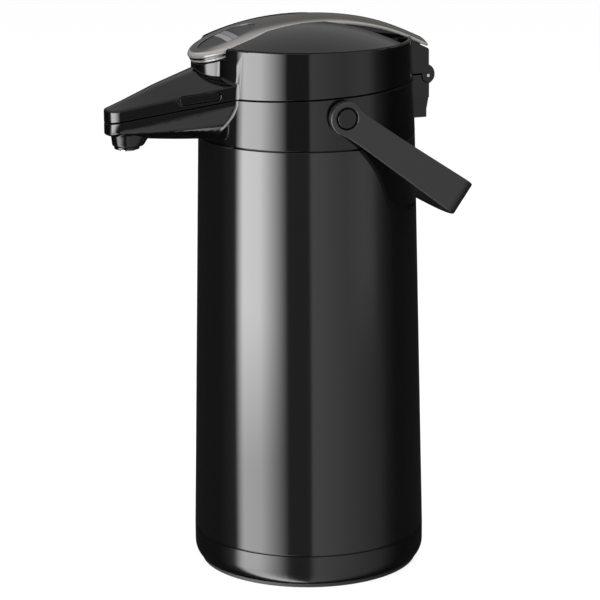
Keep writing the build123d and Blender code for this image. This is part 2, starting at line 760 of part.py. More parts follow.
# Lid ring with the upper half of the spout, the neck under the lever head and the hinge block
skirt_low_z = 324.5
flange_z = lid_base_z + 20.0
pin_end_x = 16.0
with BuildPart() as lid_ring:
    add(ring([
        (head_r(320) - lid_wall, 320), (head_r(320), 320), (lid_rim_r + 0.03, lid_rim_z - 1.0),
        (lid_rim_r - 0.9, lid_rim_z), (ring_inner, lid_rim_z), (ring_inner, lid_rim_z - 8),
    ]))
    add(spout_cover.part)
    with BuildSketch(Plane.XY.offset(332)):
        with Locations((0, neck_y)):
            Circle(neck_r)
    extrude(amount=40)
    add(ring([(0, 300), (ring_inner, 300), (ring_inner, 400), (0, 400)]), mode=Mode.SUBTRACT)
    with BuildSketch(Plane.XY.offset(330)):
        with Locations((0, neck_y)):
            Circle(neck_r - lid_wall)
    extrude(amount=16, mode=Mode.SUBTRACT)
    with BuildSketch(Plane.YZ):
        Polygon((block_root_y, lid_rim_z - 1), (block_front_y, block_front_z), (block_back_y, block_back_z),
                (block_back_y, 380), (block_root_y, 380), align=None)
    extrude(amount=hinge_half + 1.5, both=True, mode=Mode.SUBTRACT)
    add(hinge_block.part)
    with BuildSketch(Plane.YZ):
        Polygon((block_front_y - 1, pocket_low_z), (block_back_y - 1.6, pocket_low_z),
                (block_back_y - 1.6, 370), (block_front_y - 1, 370), align=None)
    extrude(amount=pocket_half, both=True, mode=Mode.SUBTRACT)
    add(lever_gap.part, mode=Mode.SUBTRACT)
    add(lid_cut, mode=Mode.SUBTRACT)
    add(ring([(skirt_r - skirt_t, skirt_low_z), (skirt_r, skirt_low_z), (skirt_r, flange_z),
              (skirt_r - skirt_t, flange_z)]))
    add(ring([(skirt_r - 7, flange_z), (ring_inner + 0.8, flange_z), (ring_inner + 0.8, flange_z + 2),
              (skirt_r - 7, flange_z + 2)]))
    with BuildSketch(Plane.YZ.offset(collar_knuckle_half + part_gap)):
        with Locations((hinge_y, hinge_z)):
            Circle(lid_knuckle_r)
        Polygon((hinge_y - lid_knuckle_r, hinge_z), (hinge_y + 1, hinge_z), (hinge_y + 1, hinge_z + 6),
                (hinge_y - lid_knuckle_r, hinge_z + 6), align=None)
    extrude(amount=hinge_half - collar_knuckle_half - part_gap)
    with BuildSketch(Plane.YZ.offset(-hinge_half)):
        with Locations((hinge_y, hinge_z)):
            Circle(lid_knuckle_r)
        Polygon((hinge_y - lid_knuckle_r, hinge_z), (hinge_y + 1, hinge_z), (hinge_y + 1, hinge_z + 6),
                (hinge_y - lid_knuckle_r, hinge_z + 6), align=None)
    extrude(amount=hinge_half - collar_knuckle_half - part_gap)
    with BuildSketch(Plane.YZ):
        with Locations((hinge_y, hinge_z)):
            Circle(collar_knuckle_r + part_gap)
    extrude(amount=collar_knuckle_half + part_gap, both=True, mode=Mode.SUBTRACT)
    with BuildSketch(Plane.YZ):
        with Locations((hinge_y, hinge_z)):
            Circle(hinge_pin_r + run_gap)
    extrude(amount=hinge_half + 1, both=True, mode=Mode.SUBTRACT)
    with BuildSketch(Plane.YZ):
        with Locations((lever_pivot_y, lever_pivot_z)):
            Circle(lever_pin_r)
    extrude(amount=pin_end_x, both=True, mode=Mode.SUBTRACT)
    for side in (1, -1):
        add(button_block(side, button_gap, -button_depth - 1, 3), mode=Mode.SUBTRACT)
lid_ring.part.label = "lid_ring"

# Dome: two hollow lobes beside the slot of the lever, and the floor of the slot
dome_centre_z = dome_top_z - dome_r
rod_hole_r = rod_r + 0.5
with BuildPart() as lobe_hollow:
    with Locations((0, 0, dome_centre_z)):
        Sphere(dome_r - dome_wall)
    add(ring([(0, 350), (pan_r - dome_wall, 350), (pan_r - dome_wall, 380), (0, 380)]), mode=Mode.INTERSECT)
    add(prism(slot_plan(dome_wall), 340, 390), mode=Mode.SUBTRACT)

with BuildPart() as lid_dome:
    with Locations((0, 0, dome_centre_z)):
        Sphere(dome_r)
    add(ring([
        (0, pan_z - pan_t), (pan_r, pan_z - pan_t), (pan_r, lid_rim_z + 0.1), (lid_rim_r - 0.6, lid_rim_z + 0.1),
        (lid_rim_r - 0.6, 380), (0, 380),
    ]), mode=Mode.INTERSECT)
    add(lobe_hollow.part, mode=Mode.SUBTRACT)
    add(prism(slot_plan(0), pan_z, 390), mode=Mode.SUBTRACT)
    add(lever_gap.part, mode=Mode.SUBTRACT)
    with BuildSketch(Plane.XY.offset(340)):
        with Locations((0, rod_y)):
            Circle(rod_hole_r)
    extrude(amount=30, mode=Mode.SUBTRACT)
    with BuildSketch(Plane.XY.offset(340)):
        Polygon((-hinge_half - 0.3, block_root_y - 0.3), (hinge_half + 0.3, block_root_y - 0.3),
                (hinge_half + 0.3, 90), (-hinge_half - 0.3, 90), align=None)
    extrude(amount=40, mode=Mode.SUBTRACT)
lid_dome.part.label = "lid_dome"

# Base plate of the lid with its upstand, the seal under it and the pump
upstand_t = 2.4
with BuildPart() as lid_base:
    add(ring([
        (6, lid_base_z), (lid_base_r, lid_base_z), (lid_base_r, flange_z - 0.1),
        (lid_base_r - upstand_t, flange_z - 0.1), (lid_base_r - upstand_t, lid_base_z + lid_base_t),
        (6, lid_base_z + lid_base_t),
    ]))
lid_base.part.label = "lid_base"

with BuildPart() as lid_gasket:
    add(ring([
        (funnel_bore_r, lid_base_z - gasket_t), (funnel_bore_r + 5.5, lid_base_z - gasket_t),
        (funnel_bore_r + 5.5, lid_base_z), (funnel_bore_r, lid_base_z),
    ]))
lid_gasket.part.label = "lid_gasket"

bellows_low_z = lid_base_z + lid_base_t
plate_low_z = bellows_low_z + bellows_h
fold = bellows_h / bellows_folds
bellows_outer = []
for step in range(bellows_folds):
    bellows_outer.append((pump_r - 4, bellows_low_z + step * fold))
    bellows_outer.append((pump_r, bellows_low_z + (step + 0.5) * fold))
bellows_outer.append((pump_r - 4, plate_low_z))
bellows_inner = [(r - 1.2, z) for r, z in reversed(bellows_outer)]
with BuildPart() as pump_bellows:
    add(ring(bellows_outer + bellows_inner))
pump_bellows.part.label = "pump_bellows"

with BuildPart() as pump_spring:
    spring_pitch = (bellows_h - 2 * spring_wire_r) / spring_turns
    with BuildLine():
        coil = Helix(spring_pitch, bellows_h - 2 * spring_wire_r, spring_r, center=(0, 0, bellows_low_z + spring_wire_r))
    with BuildSketch(Plane(origin=coil @ 0, z_dir=coil % 0)):
        Circle(spring_wire_r)
    sweep(path=coil)
pump_spring.part.label = "pump_spring"

with BuildPart() as pump_plate:
    add(ring([
        (0, plate_low_z), (pump_r - 3, plate_low_z), (pump_r - 3, plate_low_z + plate_t),
        (rod_r + 3, plate_low_z + plate_t), (rod_r, plate_low_z + plate_t + 3),
        (rod_r, core_floor_z - rod_top_gap), (0, core_floor_z - rod_top_gap),
    ]))
pump_plate.part.label = "pump_plate"

with BuildPart() as lever_pin:
    with BuildSketch(Plane.YZ.offset(-pin_end_x)):
        with Locations((lever_pivot_y, lever_pivot_z)):
            Circle(lever_pin_r)
    extrude(amount=2 * pin_end_x)
lever_pin.part.label = "lever_pin"

# What lies under the lever at its hinge end: everything below this line is kept free
with BuildPart() as lever_floor:
    pivot_foot_y = 76.7
    with BuildSketch(Plane.YZ):
        Polygon((rim_end_y, 330), (rim_end_y, core_floor_z), (block_front_y - 1, core_floor_z),
                (pivot_foot_y, block_top(pivot_foot_y) + 0.7), (lever_end_y, block_top(lever_end_y) + 1.3),
                (90, block_top(90) + 2.4), (90, 330), align=None)
    extrude(amount=40, both=True)

# Lever cover with its rolled rim, open round the inlay
with BuildPart() as inlay_space:
    with BuildSketch(Plane.XY.offset(340)):
        with Locations((0, inlay_y)):
            Ellipse(inlay_half_x, inlay_half_y)
    extrude(amount=50)

inlay_low = inlay_sink + inlay_t
with BuildPart() as cover_hollow:
    add(crowned_slab(cover_t, cover_rim + 2))
    add(prism(lever_plan(core_inset), 340, 400), mode=Mode.INTERSECT)

with BuildPart() as arm_side:
    add(crowned_slab(arm_rim, cover_rim + 2))
    with BuildSketch(Plane.XY.offset(330)):
        Polygon((-40, rim_end_y), (40, rim_end_y), (40, 100), (-40, 100), align=None)
    extrude(amount=70, mode=Mode.INTERSECT)

with BuildPart() as lever_cover:
    add(crowned_slab(0, cover_rim))
    add(prism(lever_plan(0), 340, 400), mode=Mode.INTERSECT)
    add(cover_hollow.part, mode=Mode.SUBTRACT)
    add(arm_side.part, mode=Mode.SUBTRACT)
    add(inlay_space.part, mode=Mode.SUBTRACT)
    add(lever_floor.part, mode=Mode.SUBTRACT)
lever_cover.part.label = "lever_cover"

# Lever core under the cover, with the hub on its pivot pin
band_top = cover_rim + groove
with BuildPart() as below_head:
    with BuildSketch(Plane.YZ):
        Polygon((-100, 330), (band_end_y, 330), (band_end_y, 390), (-100, 390), align=None)
    extrude(amount=40, both=True)
    add(crowned_slab(-30, band_top), mode=Mode.SUBTRACT)

with BuildPart() as inlay_recess:
    add(crowned_slab(-30, inlay_low))
    add(inlay_space.part, mode=Mode.INTERSECT)

with BuildPart() as lever_core:
    add(prism(lever_plan(core_inset), core_floor_z - 20, 380))
    add(crowned_slab(-30, cover_t), mode=Mode.SUBTRACT)
    add(below_head.part, mode=Mode.SUBTRACT)
    add(inlay_recess.part, mode=Mode.SUBTRACT)
    add(lever_floor.part, mode=Mode.SUBTRACT)
    with BuildSketch(Plane.YZ):
        with Locations((lever_pivot_y, lever_pivot_z)):
            Circle(pivot_hub_r)
        Polygon((lever_pivot_y - pivot_hub_r, lever_pivot_z), (lever_pivot_y + 1, lever_pivot_z),
                (lever_pivot_y + 1, 359), (lever_pivot_y - pivot_hub_r, 361), align=None)
    extrude(amount=pivot_hub_half, both=True)
    with BuildSketch(Plane.YZ):
        with Locations((lever_pivot_y, lever_pivot_z)):
            Circle(lever_pin_r + run_gap)
    extrude(amount=pivot_hub_half + 1, both=True, mode=Mode.SUBTRACT)
lever_core.part.label = "lever_core"

# Second band under the rim of the head
with BuildPart() as lever_band:
    add(crowned_slab(band_top + 0.1, band_top + band_t))
    add(prism(lever_plan(band_inset), 340, 400), mode=Mode.INTERSECT)
    with BuildSketch(Plane.XY.offset(330)):
        Polygon((-40, band_end_y), (40, band_end_y), (40, 100), (-40, 100), align=None)
    extrude(amount=70, mode=Mode.SUBTRACT)
lever_band.part.label = "lever_band"

# Inlay in the head and the pale window across it
with BuildPart() as window_space:
    with BuildSketch(Plane.XY.offset(340)):
        with Locations((0, inlay_y)):
            Rectangle(2 * inlay_half_x - 2, 2 * window_half_y)
    extrude(amount=50)
    add(crowned_slab(-30, inlay_sink + window_t), mode=Mode.INTERSECT)

with BuildPart() as lever_inlay:
    add(crowned_slab(inlay_sink, inlay_low - 0.05))
    with BuildSketch(Plane.XY.offset(340)):
        with Locations((0, inlay_y)):
            Ellipse(inlay_half_x - 0.1, inlay_half_y - 0.1)
    extrude(amount=50, mode=Mode.INTERSECT)
    add(window_space.part, mode=Mode.SUBTRACT)
lever_inlay.part.label = "lever_inlay"

with BuildPart() as inlay_window:
    add(crowned_slab(inlay_sink, inlay_sink + window_t - 0.05))
    with BuildSketch(Plane.XY.offset(340)):
        with Locations((0, inlay_y)):
            Rectangle(2 * inlay_half_x - 2.2, 2 * window_half_y - 0.2)
    extrude(amount=50, mode=Mode.INTERSECT)
inlay_window.part.label = "inlay_window"

# Handle: a bail seen face on, cut to its side outline, hanging down behind
drop = radians(handle_drop)
along = (0, cos(drop), -sin(drop))
across = (0, sin(drop), cos(drop))
inner_x = handle_outer_x - handle_t
with BuildPart() as handle_side:
    with BuildSketch(Plane(origin=(0, 0, handle_pivot_z), x_dir=along, z_dir=(1, 0, 0))) as side_view:
        Circle(boss_r)
        with BuildLine():
            Polyline((0, -arm_low), (22, -arm_low), (grip_s, -grip_low), (grip_s + 30, -grip_low), (grip_s + 30, grip_high),
                     (grip_s, grip_high), (38, arm_high), (0, arm_high), close=True)
        make_face()
        fillet(side_view.vertices().filter_by_position(Axis.X, 0.5, boss_r), radius=handle_neck_round)
    extrude(amount=handle_outer_x + 10, both=True)

with BuildPart() as handle:
    with BuildSketch(Plane(origin=(0, 0, handle_pivot_z), x_dir=(1, 0, 0), z_dir=across)) as bail:
        with BuildLine():
            Polyline((-handle_outer_x, grip_corner_s), (-handle_outer_x, -16), (handle_outer_x, -16),
                     (handle_outer_x, grip_corner_s))
            ThreePointArc((handle_outer_x, grip_corner_s), (0, grip_corner_s + grip_bow),
                          (-handle_outer_x, grip_corner_s))
        make_face()
        fillet(bail.vertices().group_by(Axis.Y)[-1], radius=grip_corner_r)
        with BuildLine():
            Polyline((-inner_x, grip_corner_s - grip_t - 2), (-inner_x, -20), (inner_x, -20),
                     (inner_x, grip_corner_s - grip_t - 2))
            ThreePointArc((inner_x, grip_corner_s - grip_t - 2), (0, grip_corner_s + grip_bow - grip_t),
                          (-inner_x, grip_corner_s - grip_t - 2))
        make_face(mode=Mode.SUBTRACT)
    extrude(amount=20, both=True)
    add(handle_side.part, mode=Mode.INTERSECT)
    with BuildSketch(Plane.YZ):
        with Locations((0, handle_pivot_z)):
            Circle(pin_shank_r + run_gap)
    extrude(amount=handle_outer_x + 1, both=True, mode=Mode.SUBTRACT)
    with BuildSketch(Plane.YZ.offset(handle_outer_x - pin_seat_depth)):
        with Locations((0, handle_pivot_z)):
            Circle(pin_head_seat_r)
    extrude(amount=pin_seat_depth + 1, mode=Mode.SUBTRACT)
    with BuildSketch(Plane.YZ.offset(pin_seat_depth - handle_outer_x)):
        with Locations((0, handle_pivot_z)):
            Circle(pin_head_seat_r)
    extrude(amount=-pin_seat_depth - 1, mode=Mode.SUBTRACT)
handle.part.label = "handle"

with BuildPart() as button_right:
    add(button_block(1, 0, -button_depth, button_proud))
    fillet(button_right.edges().group_by(Axis.X)[-1], radius=0.3)
button_right.part.label = "button_right"

with BuildPart() as button_left:
    add(mirror(button_right.part, about=Plane.YZ))
button_left.part.label = "button_left"

pieces = (
    foot_ring, base_ring, base_cap, base_screws, outer_shell, flask_outer, flask_inner, flask_cushion,
    neck_funnel, neck_gasket, collar, riser_tube, spout_pipe, nozzle, nozzle_insert, hinge_pin, handle_pins,
    lid_ring, lid_dome, lid_base, lid_gasket, pump_bellows, pump_spring, pump_plate, lever_pin, lever_cover,
    lever_core, lever_band, lever_inlay, inlay_window, handle, button_right, button_left,
)
for piece in pieces:
    export_step(piece.part, f"parts/{piece.part.label}.step")
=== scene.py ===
"""Looks of the airpot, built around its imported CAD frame. Metres, spout towards -Y, Z up."""

import json
from math import cos, pi, radians, sin, sqrt

import bmesh
import bpy
import numpy as np
from mathutils import Matrix, Vector


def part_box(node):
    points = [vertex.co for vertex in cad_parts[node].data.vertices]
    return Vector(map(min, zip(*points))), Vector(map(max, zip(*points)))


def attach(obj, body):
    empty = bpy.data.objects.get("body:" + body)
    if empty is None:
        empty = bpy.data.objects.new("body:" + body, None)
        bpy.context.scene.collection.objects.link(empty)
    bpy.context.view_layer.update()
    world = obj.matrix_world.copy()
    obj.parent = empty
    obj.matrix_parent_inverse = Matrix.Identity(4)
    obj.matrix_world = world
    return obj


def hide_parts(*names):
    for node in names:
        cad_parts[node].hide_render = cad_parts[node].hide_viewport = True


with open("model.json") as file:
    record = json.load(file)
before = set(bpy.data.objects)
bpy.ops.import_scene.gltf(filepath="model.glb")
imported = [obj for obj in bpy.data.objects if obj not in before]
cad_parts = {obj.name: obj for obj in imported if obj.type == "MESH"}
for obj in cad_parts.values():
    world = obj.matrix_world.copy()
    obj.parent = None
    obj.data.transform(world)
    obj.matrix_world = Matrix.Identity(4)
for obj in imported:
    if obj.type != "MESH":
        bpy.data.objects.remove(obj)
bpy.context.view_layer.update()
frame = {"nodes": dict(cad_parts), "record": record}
nodes = frame["nodes"]
MM = 0.001


# Shader nodes


def math_node(tree, operation, first, second=None):
    """Maths node; each input is a socket or a number."""
    node = tree.nodes.new("ShaderNodeMath")
    node.operation = operation
    for place, value in enumerate((first, second)):
        if value is None:
            continue
        if isinstance(value, (int, float)):
            node.inputs[place].default_value = value
        else:
            tree.links.new(value, node.inputs[place])
    return node.outputs[0]


def dot_node(tree, vector, direction):
    """Share of a vector along a fixed direction."""
    node = tree.nodes.new("ShaderNodeVectorMath")
    node.operation = "DOT_PRODUCT"
    tree.links.new(vector, node.inputs[0])
    node.inputs[1].default_value = direction
    return node.outputs["Value"]


def range_node(tree, value, low, high, low_share=0.0, high_share=1.0):
    """Share that changes with the value from low to high, and is held beyond them."""
    node = tree.nodes.new("ShaderNodeMapRange")
    tree.links.new(value, node.inputs["Value"])
    node.inputs["From Min"].default_value = low
    node.inputs["From Max"].default_value = high
    node.inputs["To Min"].default_value = low_share
    node.inputs["To Max"].default_value = high_share
    return node.outputs["Result"]


# Materials


def finish(name, colour, roughness, metallic=0.0, specular=0.5):
    """Plain shader for one of the pot's finishes."""
    material = bpy.data.materials.new(name)
    material.use_nodes = True
    shader = material.node_tree.nodes["Principled BSDF"]
    shader.inputs["Base Color"].default_value = (*colour, 1)
    shader.inputs["Roughness"].default_value = roughness
    shader.inputs["Metallic"].default_value = metallic
    shader.inputs["Specular IOR Level"].default_value = specular
    return material


BRUSHED_STEEL = (0.44, 0.425, 0.405)
# Darker copy of the steel: painted shade for the lever's rim and band
SHADED_RIM_STEEL = (0.16, 0.154, 0.147)
FINISHES = {
    "body_lacquer": finish("body lacquer", (0.0035, 0.0035, 0.0036), 0.1),
    "base_gloss": finish("base gloss", (0.0025, 0.0025, 0.0025), 0.16),
    "black_gloss": finish("black gloss", (0.0018, 0.0018, 0.0018), 0.06, specular=0.4),
    "handle_matte": finish("handle matt", (0.009, 0.009, 0.0094), 0.38),
    "lever_silver": finish("lever silver", BRUSHED_STEEL, 0.09, metallic=1.0),
    "inlay_black": finish("inlay dark", (0.013, 0.0135, 0.015), 0.3),
    "window_grey": finish("window grey", (0.16, 0.16, 0.165), 0.35),
    "foot_rubber": finish("foot rubber", (0.01, 0.01, 0.01), 0.6),
    "seal_rubber": finish("seal pale", (0.6, 0.58, 0.53), 0.5),
    "inner_plastic": finish("inner grey", (0.02, 0.02, 0.022), 0.4),
    "flask_steel": finish("flask steel", (0.55, 0.55, 0.56), 0.28, metallic=1.0),
    "steel": finish("bright steel", (0.6, 0.6, 0.6), 0.18, metallic=1.0),
}

# The window is painted with a sheen: two pale bars of painted reflection across the lever, with a dark line
# between them
SHEEN_LOW_Y, SHEEN_HIGH_Y = -0.062, -0.05
WINDOW_SHEEN_BARS = [
    (-0.0605, (0.13, 0.13, 0.135)),
    (-0.0563, (0.035, 0.035, 0.037)),
    (-0.0557, (0.09, 0.09, 0.095)),
]
tree = FINISHES["window_grey"].node_tree
along_lever = tree.nodes.new("ShaderNodeSeparateXYZ")
tree.links.new(tree.nodes.new("ShaderNodeTexCoord").outputs["Object"], along_lever.inputs[0])
sheen_bars = tree.nodes.new("ShaderNodeValToRGB")
sheen_bars.color_ramp.interpolation = "CONSTANT"
tree.links.new(range_node(tree, along_lever.outputs["Y"], SHEEN_LOW_Y, SHEEN_HIGH_Y), sheen_bars.inputs["Fac"])
sheen_bars.color_ramp.elements.new(0.5)
for sheen_bar, (start_y, colour) in zip(sheen_bars.color_ramp.elements, WINDOW_SHEEN_BARS):
    sheen_bar.position = (start_y - SHEEN_LOW_Y) / (SHEEN_HIGH_Y - SHEEN_LOW_Y)
    sheen_bar.color = (*colour, 1)
# The painted sheen bars take the place of the window's plain grey
tree.links.new(sheen_bars.outputs["Color"], tree.nodes["Principled BSDF"].inputs["Base Color"])

# The lever's rolled rim is a darker, non-metal copy of its steel, painted shade that dims the rim's
# reflection; its top is brushed metal
tree = FINISHES["lever_silver"].node_tree
rolled = tree.nodes.new("ShaderNodeAttribute")
rolled.attribute_name = "rolled"
rim_shade_mix = tree.nodes.new("ShaderNodeMix")
rim_shade_mix.data_type = "RGBA"
rim_shade_mix.inputs[6].default_value = (*BRUSHED_STEEL, 1)
rim_shade_mix.inputs[7].default_value = (*SHADED_RIM_STEEL, 1)
tree.links.new(rolled.outputs["Fac"], rim_shade_mix.inputs[0])
tree.links.new(rim_shade_mix.outputs[2], tree.nodes["Principled BSDF"].inputs["Base Color"])
brushed = math_node(tree, "SUBTRACT", 1.0, rolled.outputs["Fac"])
tree.links.new(brushed, tree.nodes["Principled BSDF"].inputs["Metallic"])

SLOT_OF = {part["node"]: part["material_slot"] for part in frame["record"]["subparts"]}
BODY_OF = {
    node: body
    for body, members in frame["record"]["behaviour"]["bodies"].items()
    for node in members
}
for node, slot_name in SLOT_OF.items():
    nodes[node].data.materials.clear()
    nodes[node].data.materials.append(FINISHES[slot_name])


# Helpers for pieces


def ride_with(piece, node):
    """The piece takes the node's finish and rides on its body."""
    piece.data.materials.clear()
    piece.data.materials.append(FINISHES[SLOT_OF[node]])
    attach(piece, BODY_OF[node])


def stand_for(piece, node):
    """The finished piece takes the node's finish, rides on its body and is shown in its place."""
    ride_with(piece, node)
    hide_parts(node)


def only(piece):
    """Makes the piece the only selected and active one."""
    bpy.ops.object.select_all(action="DESELECT")
    piece.select_set(True)
    bpy.context.view_layer.objects.active = piece


def placed(name, mesh):
    """New piece of a mesh, selected and active."""
    piece = bpy.data.objects.new(name, mesh)
    bpy.context.scene.collection.objects.link(piece)
    only(piece)
    return piece


def smooth(piece, angle=32):
    """Shades the piece smooth, with edges above the angle kept sharp."""
    only(piece)
    bpy.ops.object.shade_smooth_by_angle(angle=radians(angle))


# Pieces kept in shape, with their edges rounded. Sizes in millimetres

SAME_PLACE = 0.02
FLAT_ANGLE = 0.6
SPOUT_FRONT_Y = -66.0
SEAM_FACING = 0.7
LIGHT_SHARE = 0.3


def weigh_edges(piece, angle, seam_up):
    """Marks the spout's outer edges to round fully, and its seam and all other edges by a share."""
    mesh = bmesh.new()
    mesh.from_mesh(piece.data)
    weights = mesh.edges.layers.float.new("bevel_weight_edge")
    for edge in mesh.edges:
        if len(edge.link_faces) != 2 or edge.calc_face_angle() < radians(angle):
            continue
        on_seam = any(face.normal.z * seam_up > SEAM_FACING for face in edge.link_faces)
        on_spout = all(vertex.co.y < SPOUT_FRONT_Y * MM for vertex in edge.verts)
        edge[weights] = 1.0 if on_spout and edge.is_convex and not on_seam else LIGHT_SHARE
    mesh.to_mesh(piece.data)
    mesh.free()


def softened(node, width, segments=3, angle=28, seam_up=0):
    """Copy of a node with its doubles merged, flat faces joined and edges rounded by width.

    Where the seam faces up (1) or down (-1), only the spout's outer edges get the full width.
    """
    piece = placed(node + "_finished", nodes[node].data.copy())
    bpy.ops.object.mode_set(mode="EDIT")
    bpy.ops.mesh.select_all(action="SELECT")
    bpy.ops.mesh.remove_doubles(threshold=SAME_PLACE * MM)
    bpy.ops.mesh.dissolve_limited(angle_limit=radians(FLAT_ANGLE))
    bpy.ops.object.mode_set(mode="OBJECT")
    if width:
        rounding = piece.modifiers.new("rounding", "BEVEL")
        rounding.width = width * MM
        rounding.segments = segments
        rounding.limit_method = "ANGLE"
        rounding.angle_limit = radians(angle)
        if seam_up:
            weigh_edges(piece, angle, seam_up)
            rounding.limit_method = "WEIGHT"
            rounding.use_clamp_overlap = False
        bpy.ops.object.modifier_apply(modifier=rounding.name)
    smooth(piece)
    flats = piece.modifiers.new("flats", "WEIGHTED_NORMAL")
    flats.keep_sharp = True
    bpy.ops.object.modifier_apply(modifier=flats.name)
    stand_for(piece, node)
    return piece


# The head's outer wall is a cone through these radius and height pairs
HEAD_LOW = (73.0, 297.5)
HEAD_HIGH = (70.6, 361.7)
ON_WALL, NEAR_WALL = 0.12, 0.15
WALL_FACING, HULL_FACING = 0.97, 0.85
HULL_RISE = 0.05
FRONT_Y = -30.0


def head_r(height):
    """Radius of the head's outer wall at a height."""
    share = (height - HEAD_LOW[1]) / (HEAD_HIGH[1] - HEAD_LOW[1])
    return HEAD_LOW[0] + (HEAD_HIGH[0] - HEAD_LOW[0]) * share


def flat(place):
    """The place with its height left out, so its way out from the pot's axis."""
    return Vector((place.x, place.y, 0))


def off_wall(place):
    """Distance between a place and the head's outer wall."""
    return abs(flat(place).length / MM - head_r(place.z / MM))


def true_wall(piece):
    """Gives the faces of the head's round wall the exact normals of its cone."""
    mesh = piece.data
    lean = (HEAD_LOW[0] - HEAD_HIGH[0]) / (HEAD_HIGH[1] - HEAD_LOW[1])
    normals = [corner.vector.copy() for corner in mesh.corner_normals]
    for face in mesh.polygons:
        if face.normal.dot(flat(face.center).normalized()) < WALL_FACING:
            continue
        for loop in face.loop_indices:
            place = mesh.vertices[mesh.loops[loop].vertex_index].co
            if off_wall(place) > ON_WALL:
                continue
            normals[loop] = (flat(place) + Vector((0, 0, lean * flat(place).length))).normalized()
    mesh.normals_split_custom_set(normals)


def root_edges(mesh, side, near_x, far_x):
    """Edges between the head's wall and the spout or neck, as neighbours of each vertex."""
    links = {}
    for edge in mesh.edges:
        middle = (edge.verts[0].co + edge.verts[1].co) / 2
        if len(edge.link_faces) != 2 or middle.y > FRONT_Y * MM:
            continue
        if not near_x < middle.x * side / MM < far_x:
            continue
        if any(off_wall(vertex.co) > NEAR_WALL for vertex in edge.verts):
            continue
        outwards = flat(middle).normalized()
        wall, hull = sorted(edge.link_faces, key=lambda face: -face.normal.dot(outwards))
        if wall.normal.dot(outwards) < WALL_FACING or hull.normal.dot(outwards) > HULL_FACING:
            continue
        if (hull.calc_center_median() - middle).dot(wall.normal) < HULL_RISE * MM:
            continue
        for one, other in (edge.verts, reversed(edge.verts)):
            links.setdefault(one, []).append((other, hull.normal.copy()))
    return links


def root_line(node, side, near_x, far_x):
    """Places and facing of the line where spout or neck meets the head's wall, from top to bottom."""
    mesh = bmesh.new()
    mesh.from_mesh(nodes[node].data)
    bmesh.ops.remove_doubles(mesh, verts=mesh.verts, dist=SAME_PLACE * MM)
    links = root_edges(mesh, side, near_x, far_x)
    ends = [vertex for vertex, joined in links.items() if len(joined) == 1]
    chains = []
    while ends:
        vertex = ends.pop()
        chain, passed = [vertex], {vertex}
        while True:
            onward = [other for other, facing in links[chain[-1]] if other not in passed]
            if not onward:
                break
            chain.append(onward[0])
            passed.add(onward[0])
        if chain[-1] in ends:
            ends.remove(chain[-1])
        chains.append(chain)
    chain = max(chains, key=lambda line: sum((a.co - b.co).length for a, b in zip(line, line[1:])))
    if chain[0].co.z < chain[-1].co.z:
        chain.reverse()
    line = []
    for vertex in chain:
        facing = sum((facing for other, facing in links[vertex]), Vector()).normalized()
        line.append((vertex.co.copy(), facing))
    mesh.free()
    return line


BEAD_STEP = 0.9
BEAD_SINK = 0.02
BEAD_BACK = 0.2
BEAD_STEPS = 8
LEAST_ROWS = 8
FACING_REACH = 3


def evenly(line, step):
    """The line's places and facing at even steps, with the facing evened out."""
    spread = [0.0]
    for (place, facing), (onward, other) in zip(line, line[1:]):
        spread.append(spread[-1] + (onward - place).length)
    count = max(LEAST_ROWS, int(spread[-1] / (step * MM)))
    rows = []
    stretch = 0
    for number in range(count + 1):
        along = spread[-1] * number / count
        while stretch < len(spread) - 2 and spread[stretch + 1] < along:
            stretch += 1
        share = (along - spread[stretch]) / max(spread[stretch + 1] - spread[stretch], 1e-9)
        place = line[stretch][0].lerp(line[stretch + 1][0], share)
        facing = line[stretch][1].lerp(line[stretch + 1][1], share).normalized()
        rows.append((place, facing))
    smoothed = []
    for number, (place, facing) in enumerate(rows):
        near = rows[max(0, number - FACING_REACH):number + FACING_REACH + 1]
        smoothed.append((place, sum((other for spot, other in near), Vector()).normalized()))
    return smoothed


def root_bead(node, side, reach, near_x, far_x, name):
    """Concave bead in the corner between spout and head, reaching the given distance up either face."""
    rows = evenly(root_line(node, side, near_x, far_x), BEAD_STEP)
    count = len(rows) - 1
    corners, faces = [], []
    for number, (place, facing) in enumerate(rows):
        before, after = rows[max(0, number - 1)][0], rows[min(count, number + 1)][0]
        travel = (after - before).normalized()
        outwards = flat(place).normalized()
        up_wall = travel.cross(outwards).normalized()
        up_wall *= 1 if up_wall.dot(facing) > 0 else -1
        up_hull = travel.cross(facing).normalized()
        up_hull *= 1 if up_hull.dot(outwards) > 0 else -1
        on_wall = place + up_wall * reach * MM
        past_wall = flat(on_wall).length - (head_r(on_wall.z / MM) - BEAD_SINK) * MM
        on_wall -= flat(on_wall).normalized() * past_wall
        on_hull = place + up_hull * reach * MM - facing * BEAD_SINK * MM
        for step in range(BEAD_STEPS + 1):
            share = step / BEAD_STEPS
            bend = on_wall * (1 - share) ** 2 + place * 2 * share * (1 - share) + on_hull * share ** 2
            corners.append(bend)
        corners.append(place - (outwards + facing) * BEAD_BACK * MM)
    width = BEAD_STEPS + 2
    for number in range(count):
        for step in range(width):
            first, onward = number * width + step, number * width + (step + 1) % width
            faces.append((first, onward, onward + width, first + width))
    faces.append(tuple(range(width)))
    faces.append(tuple(reversed(range(count * width, (count + 1) * width))))
    mesh = bpy.data.meshes.new(name)
    mesh.from_pydata(corners, [], faces)
    bead = placed(f"{name}_{'right' if side > 0 else 'left'}", mesh)
    middle = mesh.polygons[count // 2 * width + BEAD_STEPS // 2]
    if middle.normal.dot(rows[count // 2][1]) < 0:
        mesh.flip_normals()
    smooth(bead, 50)
    ride_with(bead, node)


SPIN_SEAM = 0.01


